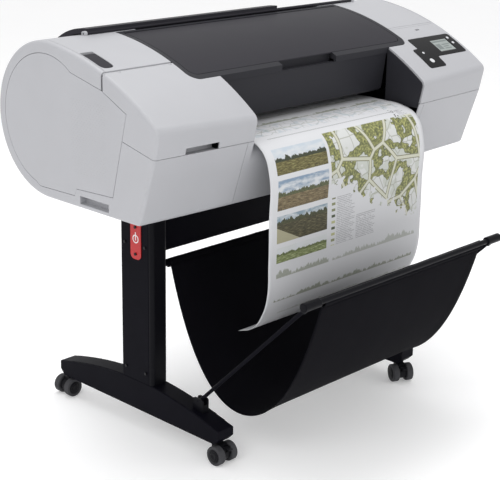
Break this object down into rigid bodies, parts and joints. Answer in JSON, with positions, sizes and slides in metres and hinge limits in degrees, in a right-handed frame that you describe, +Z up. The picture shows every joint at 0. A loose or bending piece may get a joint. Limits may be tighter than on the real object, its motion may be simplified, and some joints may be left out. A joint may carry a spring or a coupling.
{
  "type": "large format plotter",
  "caption": "Roll-fed large format ink plotter on a wheeled stand, with a lifting window, roll cover, ink door and a cloth catch bin that holds the hanging print.",
  "frame": {"origin": "on the floor, under the middle of the whole object", "axes": "+X to the right of a person standing in front, +Y to the back, +Z up"},
  "size_m": [1.262, 0.9265, 1.08],
  "materials": {
    "cover_grey": "light grey, fine moulded texture",
    "lid_grey": "dark grey, satin",
    "frame_black": "dark grey, satin",
    "bezel_black": "gloss black",
    "screen": "grey-green display",
    "button_white": "pale, satin",
    "stand_black": "black powder coat",
    "trim_black": "black, satin",
    "tag_red": "red, satin",
    "screw_steel": "zinc plated",
    "caster_black": "black",
    "caster_wheel": "grey tread on a black hub",
    "bin_fabric": "black woven polyester",
    "chassis_steel": "zinc-plated sheet",
    "rail_steel": "ground and polished",
    "carriage_black": "black",
    "belt_rubber": "black, toothed",
    "roller_rubber": "dark grey",
    "paper": "white coated paper",
    "print": "paper with a printed plan"
  },
  "bodies": {
    "printer": {"arm_clips": "trim_black", "bin_cloth": "bin_fabric", "bin_rear_rod": "stand_black", "carriage_rail": "rail_steel", "cartridge_bay": "frame_black", "centre_front": "cover_grey", "chassis": "chassis_steel", "column_trims": "trim_black", "columns": "stand_black", "control_bezel": "bezel_black", "crossbeam": "stand_black", "drive_belt": "belt_rubber", "electronics_box": "carriage_black", "feet": "stand_black", "ink_cartridges": "carriage_black", "inner_walls": "frame_black", "lcd_screen": "screen", "left_end_cover": "cover_grey", "left_side_panel": "cover_grey", "left_top_cover": "cover_grey", "platen": "frame_black", "printed_sheet": "print", "rear_cover": "cover_grey", "right_end_cover": "cover_grey", "right_side_panel": "cover_grey", "right_top_cover": "cover_grey", "service_station": "frame_black", "side_tag": "tag_red", "socket_panel": "carriage_black", "stand_screws": "screw_steel", "window_frame": "frame_black"},
    "catch_bin_frame": {"bin_arms": "stand_black", "bin_front_rod": "trim_black"},
    "window_lid": {"window_lid": "lid_grey"},
    "ink_door": {"ink_door": "cover_grey"},
    "roll_cover": {"roll_cover": "lid_grey"},
    "load_lever": {"load_lever": "lid_grey"},
    "media": {"spindle": "carriage_black", "media_roll": "paper"},
    "feed_roller": {"feed_roller": "roller_rubber"},
    "pinch_bar": {"pinch_bar": "carriage_black"},
    "pinch_rollers": {"pinch_rollers": "roller_rubber"},
    "carriage": {"carriage": "carriage_black"},
    "motor_pulley": {"motor_pulley": "chassis_steel"},
    "idler_pulley": {"idler_pulley": "chassis_steel"},
    "power_button": {"power_button": "button_white"},
    "feed_button": {"feed_button": "button_white"},
    "menu_button": {"menu_button": "button_white"},
    "back_button": {"back_button": "button_white"},
    "power_switch": {"power_switch": "carriage_black"},
    "caster_front_left": {"caster_fork_front_left": "caster_black"},
    "caster_wheels_front_left": {"caster_wheels_front_left": "caster_wheel"},
    "brake_pedal_front_left": {"brake_pedal_front_left": "caster_black"},
    "caster_front_right": {"caster_fork_front_right": "caster_black"},
    "caster_wheels_front_right": {"caster_wheels_front_right": "caster_wheel"},
    "brake_pedal_front_right": {"brake_pedal_front_right": "caster_black"},
    "caster_rear_left": {"caster_fork_rear_left": "caster_black"},
    "caster_wheels_rear_left": {"caster_wheels_rear_left": "caster_wheel"},
    "caster_rear_right": {"caster_fork_rear_right": "caster_black"},
    "caster_wheels_rear_right": {"caster_wheels_rear_right": "caster_wheel"}
  },
  "joints": [
    {"name": "catch_bin_pivot", "type": "hinge", "parent": "printer", "child": "catch_bin_frame", "pos_m": [0, -0.09175, 0.146], "axis": [1, 0, 0], "range_deg": [-20, 25], "deforming": ["bin_cloth"]},
    {"name": "window_lid_hinge", "type": "hinge", "parent": "printer", "child": "window_lid", "pos_m": [0, 0.16025, 1.05729], "axis": [-1, 0, 0], "range_deg": [0, 75]},
    {"name": "ink_door_hinge", "type": "hinge", "parent": "printer", "child": "ink_door", "pos_m": [-0.5, -0.02885, 1.01139], "axis": [-1, 0, 0], "range_deg": [0, 60]},
    {"name": "roll_cover_hinge", "type": "hinge", "parent": "printer", "child": "roll_cover", "pos_m": [0, 0.18825, 1.0686], "axis": [1, 0, 0], "range_deg": [0, 70]},
    {"name": "load_lever_pivot", "type": "hinge", "parent": "printer", "child": "load_lever", "pos_m": [-0.595, 0.06425, 1.03955], "axis": [-1, 0, 0], "range_deg": [0, 50]},
    {"name": "roll_spin", "type": "hinge", "parent": "printer", "child": "media", "pos_m": [0, 0.19725, 0.8929], "axis": [1, 0, 0], "continuous": true},
    {"name": "feed_roller_spin", "type": "hinge", "parent": "printer", "child": "feed_roller", "pos_m": [0, 0.06225, 0.8291], "axis": [1, 0, 0], "continuous": true},
    {"name": "pinch_bar_lift", "type": "slide", "parent": "printer", "child": "pinch_bar", "axis": [0, 0, 1], "range_m": [0, 0.003]},
    {"name": "pinch_rollers_spin", "type": "hinge", "parent": "pinch_bar", "child": "pinch_rollers", "pos_m": [0, 0.06225, 0.8499], "axis": [1, 0, 0], "continuous": true},
    {"name": "carriage_travel", "type": "slide", "parent": "printer", "child": "carriage", "axis": [1, 0, 0], "range_m": [-0.955, 0]},
    {"name": "motor_pulley_spin", "type": "hinge", "parent": "printer", "child": "motor_pulley", "pos_m": [0.585, 0.03825, 0.978], "axis": [0, 1, 0], "continuous": true},
    {"name": "idler_pulley_spin", "type": "hinge", "parent": "printer", "child": "idler_pulley", "pos_m": [-0.585, 0.03825, 0.978], "axis": [0, 1, 0], "continuous": true},
    {"name": "power_button_press", "type": "slide", "parent": "printer", "child": "power_button", "axis": [0, 0.541, -0.841], "range_m": [0, 0.0008], "stiffness_N_per_m": 300, "springref_m": -0.0008},
    {"name": "feed_button_press", "type": "slide", "parent": "printer", "child": "feed_button", "axis": [0, 0.5036, -0.8639], "range_m": [0, 0.0008], "stiffness_N_per_m": 300, "springref_m": -0.0008},
    {"name": "menu_button_press", "type": "slide", "parent": "printer", "child": "menu_button", "axis": [0, 0.4534, -0.8913], "range_m": [0, 0.0008], "stiffness_N_per_m": 300, "springref_m": -0.0008},
    {"name": "back_button_press", "type": "slide", "parent": "printer", "child": "back_button", "axis": [0, 0.4805, -0.877], "range_m": [0, 0.0008], "stiffness_N_per_m": 300, "springref_m": -0.0008},
    {"name": "power_switch_rock", "type": "hinge", "parent": "printer", "child": "power_switch", "pos_m": [0.49, 0.313, 0.766], "axis": [1, 0, 0], "range_deg": [0, 10]},
    {"name": "caster_swivel_front_left", "type": "hinge", "parent": "printer", "child": "caster_front_left", "pos_m": [-0.377, -0.15375, 0.057], "axis": [0, 0, 1], "continuous": true},
    {"name": "caster_roll_front_left", "type": "hinge", "parent": "caster_front_left", "child": "caster_wheels_front_left", "pos_m": [-0.377, -0.17375, 0.026], "axis": [1, 0, 0], "continuous": true},
    {"name": "brake_pedal_press_front_left", "type": "hinge", "parent": "caster_front_left", "child": "brake_pedal_front_left", "pos_m": [-0.377, -0.18875, 0.045], "axis": [1, 0, 0], "range_deg": [0, 12]},
    {"name": "caster_swivel_front_right", "type": "hinge", "parent": "printer", "child": "caster_front_right", "pos_m": [0.377, -0.15375, 0.057], "axis": [0, 0, 1], "continuous": true},
    {"name": "caster_roll_front_right", "type": "hinge", "parent": "caster_front_right", "child": "caster_wheels_front_right", "pos_m": [0.36761, -0.17141, 0.026], "axis": [0.8829, -0.4695, 0], "continuous": true},
    {"name": "brake_pedal_press_front_right", "type": "hinge", "parent": "caster_front_right", "child": "brake_pedal_front_right", "pos_m": [0.36057, -0.18465, 0.045], "axis": [0.8829, -0.4695, 0], "range_deg": [0, 12]},
    {"name": "caster_swivel_rear_left", "type": "hinge", "parent": "printer", "child": "caster_rear_left", "pos_m": [-0.377, 0.43225, 0.057], "axis": [0, 0, 1], "continuous": true},
    {"name": "caster_roll_rear_left", "type": "hinge", "parent": "caster_rear_left", "child": "caster_wheels_rear_left", "pos_m": [-0.397, 0.43225, 0.026], "axis": [0, -1, 0], "continuous": true},
    {"name": "caster_swivel_rear_right", "type": "hinge", "parent": "printer", "child": "caster_rear_right", "pos_m": [0.377, 0.43225, 0.057], "axis": [0, 0, 1], "continuous": true},
    {"name": "caster_roll_rear_right", "type": "hinge", "parent": "caster_rear_right", "child": "caster_wheels_rear_right", "pos_m": [0.38847, 0.41587, 0.026], "axis": [0.8192, 0.5736, 0], "continuous": true}
  ],
  "couplings": [
    {"joint": "feed_roller_spin", "follows": "roll_spin", "ratio": -4.1667},
    {"joint": "pinch_rollers_spin", "follows": "roll_spin", "ratio": 7.1429},
    {"joint": "pinch_bar_lift", "follows": "load_lever_pivot", "m_per_rad": 0.0034},
    {"joint": "motor_pulley_spin", "follows": "carriage_travel", "rad_per_m": -100},
    {"joint": "idler_pulley_spin", "follows": "carriage_travel", "rad_per_m": -100}
  ]
}
